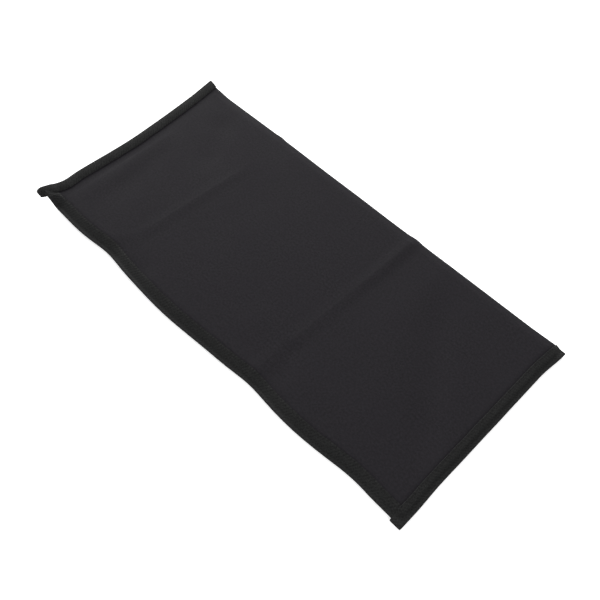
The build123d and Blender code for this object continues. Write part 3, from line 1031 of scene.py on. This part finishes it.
def ribbing(count, height):
    """The wrinkling of a tube with ribs along it, evenly round it."""
    return lambda x, angle: height * np.sin(count * angle)


def cuff_width(side):
    """How wide a cuff lies."""
    return high(f"sleeve_cuff_{side}")[1] - low(f"sleeve_cuff_{side}")[1]


FLARE_LENGTH = 95.0  # over which a sleeve widens from its cuff
CUFF_LAP = 1.5  # how far the cloth and the cuff go past their CAD nodes, to join


def sleeve_cloth(side, seed):
    """The sleeve's cloth, which narrows to its cuff and is gathered there."""
    node = f"sleeve_{side}"
    lower, upper = low(node), high(node)
    x_lines = lines([lower[0] - CUFF_LAP, upper[0]], 2.0)
    flare = upper[1] - lower[1] - cuff_width(side)
    width = cuff_width(side) + flare * ease((x_lines[:, None] - lower[0]) / FLARE_LENGTH)

    def gathers(x, angle):
        strength = 0.05 + 0.09 * ease((lower[0] + 45 - x) / 45)
        folds = np.sin(13 * angle + 2 * waves(x, 60, seed)) + 0.6 * np.sin(7 * angle + 1.3)
        creases = 0.1 * waves(x + 9 * np.cos(angle), 26, seed + 1)
        return (strength * folds + creases) * np.abs(np.sin(angle)) ** 0.5

    tube = sleeve_tube(x_lines, width, (0.55, 2.25), SLEEVE_CENTRES[side], 96, gathers)
    tube_piece(f"sleeve_cloth_{side}", tube, 0.17, "outer_cloth", node, f"sleeve_arm_{side}")


def sleeve_cuff(side):
    """The knitted cuff."""
    node = f"sleeve_cuff_{side}"
    x_lines = lines([low(node)[0], high(node)[0] + CUFF_LAP], 1.0)
    tube = sleeve_tube(x_lines, cuff_width(side), (0.45, 2.75), SLEEVE_CENTRES[side], 360, ribbing(60, 0.13))
    tube_piece(f"{node}_knitted", tube, 0.28, "elastic", node, f"sleeve_arm_{side}")


def sleeve_elastic(side):
    """The elastic band inside the cuff."""
    node = f"sleeve_elastic_{side}"
    x_lines = lines([low(node)[0] + 0.5, high(node)[0] - 0.5], 1.2)
    width = cuff_width(side) - 2.4
    tube = sleeve_tube(x_lines, width, (1.2, 2.0), SLEEVE_CENTRES[side], 180, ribbing(44, 0.05))
    tube_piece(f"{node}_band", tube, 0.15, "elastic", node, f"sleeve_arm_{side}")


def sleeve_seam(side, seed):
    """The flat tape sewn round the arm slit."""
    node = f"sleeve_seam_{side}"
    lower, upper = low(node), high(node)
    slit_x, slit_y = arm_slit(SLEEVE_CENTRES[side])
    across = lines([lower[0], upper[0], *slit_x], 1.0)
    along = lines([lower[1], upper[1], *slit_y], 2.0)
    x, y = np.meshgrid(across, along, indexing="ij")
    z = (lower[2] + upper[2]) / 2 + 0.03 * waves(y, 14, seed)
    flat = grid_of(x, y, z)
    tape = thick_grid(f"{node}_tape", flat, 0.28, ~cells_inside(flat, slit_x, slit_y))
    dress(tape, "binding_tape")
    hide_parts(node)
    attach(tape, "right")


ROOT_HALF_LENGTH = 47.0
ROOT_START = ARM_SLIT_X + 2.0  # just inside the slit
ROOT_REACH = 2.2  # how far the turned cloth stands past the hinge
ROOT_STEPS = 14


def sleeve_root(side):
    """The cloth that turns from the slit to the sleeve, round the sleeve's hinge."""
    centre = SLEEVE_CENTRES[side]
    turn = np.linspace(0, 1, ROOT_STEPS)
    x = ROOT_START + (SLEEVE_HINGE_X + ROOT_REACH - ROOT_START) * np.sin(math.pi * turn) ** 0.6
    x = np.where(turn > 0.5, x - 1.2 * (turn - 0.5), x)
    z = 2.55 - 2.1 * ease(turn)
    along = lines([centre - ROOT_HALF_LENGTH, centre + ROOT_HALF_LENGTH], 3.0)
    root = grid_of(x[None, :], along[:, None], z[None, :])
    flange = thick_grid(f"sleeve_root_{side}", root, 0.15)
    dress(flange, "outer_cloth")
    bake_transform(flange)


def make_sleeve(side, seed):
    """One sleeve: cloth tube, ribbed cuff, elastic, seam tape, and the root that turns at the slit."""
    sleeve_cloth(side, seed)
    sleeve_cuff(side)
    sleeve_elastic(side)
    sleeve_seam(side, seed)
    sleeve_root(side)


# ---- the scene ----


FLOOR_HALF = 6.0
FLOOR_HEIGHT = -0.0013  # just low enough to show the sleeves when they are turned out


def make_stage():
    """A plain pale floor."""
    mesh = bpy.data.meshes.new("floor")
    signs = ((-1, -1), (1, -1), (1, 1), (-1, 1))
    corners = [(x * FLOOR_HALF, y * FLOOR_HALF, FLOOR_HEIGHT) for x, y in signs]
    mesh.from_pydata(corners, [], [(0, 1, 2, 3)])
    floor = bpy.data.objects.new("floor", mesh)
    bpy.context.scene.collection.objects.link(floor)
    nodes = Nodes("floor_paper")
    place = nodes.add("ShaderNodeTexCoord").outputs["Object"]
    grain = nodes.noise(place, 40.0, 3.0)
    nodes.colour(nodes.ramp(grain, 0.2, 0.8, ((0.90, 0.90, 0.90), (0.93, 0.93, 0.93))))
    nodes.set(roughness=0.9, specular_ior_level=0.1)
    nodes.set(emission_color=(1.0, 1.0, 1.0, 1.0), emission_strength=0.5)
    mesh.materials.append(nodes.material)


def area_light(name, place, size, power):
    """A soft square light aimed at the middle of the bag."""
    data = bpy.data.lights.new(name, "AREA")
    data.shape = "SQUARE"
    data.size = size
    data.energy = power
    light = bpy.data.objects.new(name, data)
    bpy.context.scene.collection.objects.link(light)
    light.location = place
    direction = -np.array(place)
    direction = direction / np.linalg.norm(direction)
    light.rotation_euler = aim(direction).to_euler()


def aim(direction, roll=0.0):
    """The rotation that looks along a direction, rolled about it."""
    back_axis = -np.array(direction, float)
    side = np.cross((0.0, 0.0, 1.0), back_axis)
    side = side / np.linalg.norm(side)
    up = np.cross(back_axis, side)
    rolled_side = math.cos(roll) * side + math.sin(roll) * up
    rolled_up = -math.sin(roll) * side + math.cos(roll) * up
    return Matrix(np.stack([rolled_side, rolled_up, back_axis], axis=1).tolist())


def make_lights():
    """Plain soft studio light: a key behind on the left, a weak fill, and a surround white low down."""
    area_light("key", place=(-4.65, 3.3, 2.25), size=2.55, power=675.0)
    area_light("fill", place=(1.2, -1.2, 1.6), size=1.8, power=18.0)
    world = bpy.data.worlds.new("surround")
    world.use_nodes = True
    tree = world.node_tree
    place = tree.nodes.new("ShaderNodeTexCoord")
    split = tree.nodes.new("ShaderNodeSeparateXYZ")
    tree.links.new(place.outputs["Generated"], split.inputs["Vector"])
    ramp = tree.nodes.new("ShaderNodeValToRGB")
    ramp.color_ramp.elements[0].position = 0.2
    ramp.color_ramp.elements[1].position = 0.4
    ramp.color_ramp.elements[0].color = (1.0, 1.0, 1.0, 1.0)
    ramp.color_ramp.elements[1].color = (0.47, 0.47, 0.47, 1.0)
    tree.links.new(split.outputs["Z"], ramp.inputs["Fac"])
    tree.links.new(ramp.outputs["Color"], tree.nodes["Background"].inputs["Color"])
    bpy.context.scene.world = world
    bpy.context.scene.view_settings.view_transform = "Standard"


CAMERA_PLACE = (0.3465, -0.4091, 0.7394)
CAMERA_AZIMUTH = math.radians(38.54)
CAMERA_ELEVATION = math.radians(56.06)
CAMERA_ROLL = math.radians(6.95)
CAMERA_LENS = 48.37


def make_camera():
    """The photograph's viewpoint."""
    data = bpy.data.cameras.new("camera")
    data.sensor_width = 36.0
    data.lens = CAMERA_LENS
    data.clip_end = 50
    camera = bpy.data.objects.new("camera", data)
    bpy.context.scene.collection.objects.link(camera)
    level = math.cos(CAMERA_ELEVATION)
    towards_x = math.sin(CAMERA_AZIMUTH) * level
    towards_y = -math.cos(CAMERA_AZIMUTH) * level
    towards_camera = np.array((towards_x, towards_y, math.sin(CAMERA_ELEVATION)))
    rotation = aim(-towards_camera, CAMERA_ROLL).to_4x4()
    camera.matrix_world = Matrix.Translation(CAMERA_PLACE) @ rotation
    bpy.context.scene.camera = camera


make_camera()
make_bag("outer", FRONT, BACK, OUTER_HALF, 0.0, OUTER_ZIP)
make_bag("inner", INNER_FRONT, INNER_BACK, INNER_HALF, INNER_INSET, INNER_ZIP)
near_tape()
end_tape("left_end_tape", LEFT_EDGE, "x", LEFT_TIP, 33, "left_end_binding", "left")
end_tape("right_end_tape", RIGHT_EDGE, "-x", RIGHT_TIP, 35, "right_end_binding", "right")
make_stitching()
make_zips()
make_sleeve("near", seed=51)
make_sleeve("far", seed=61)
make_stage()
make_lights()
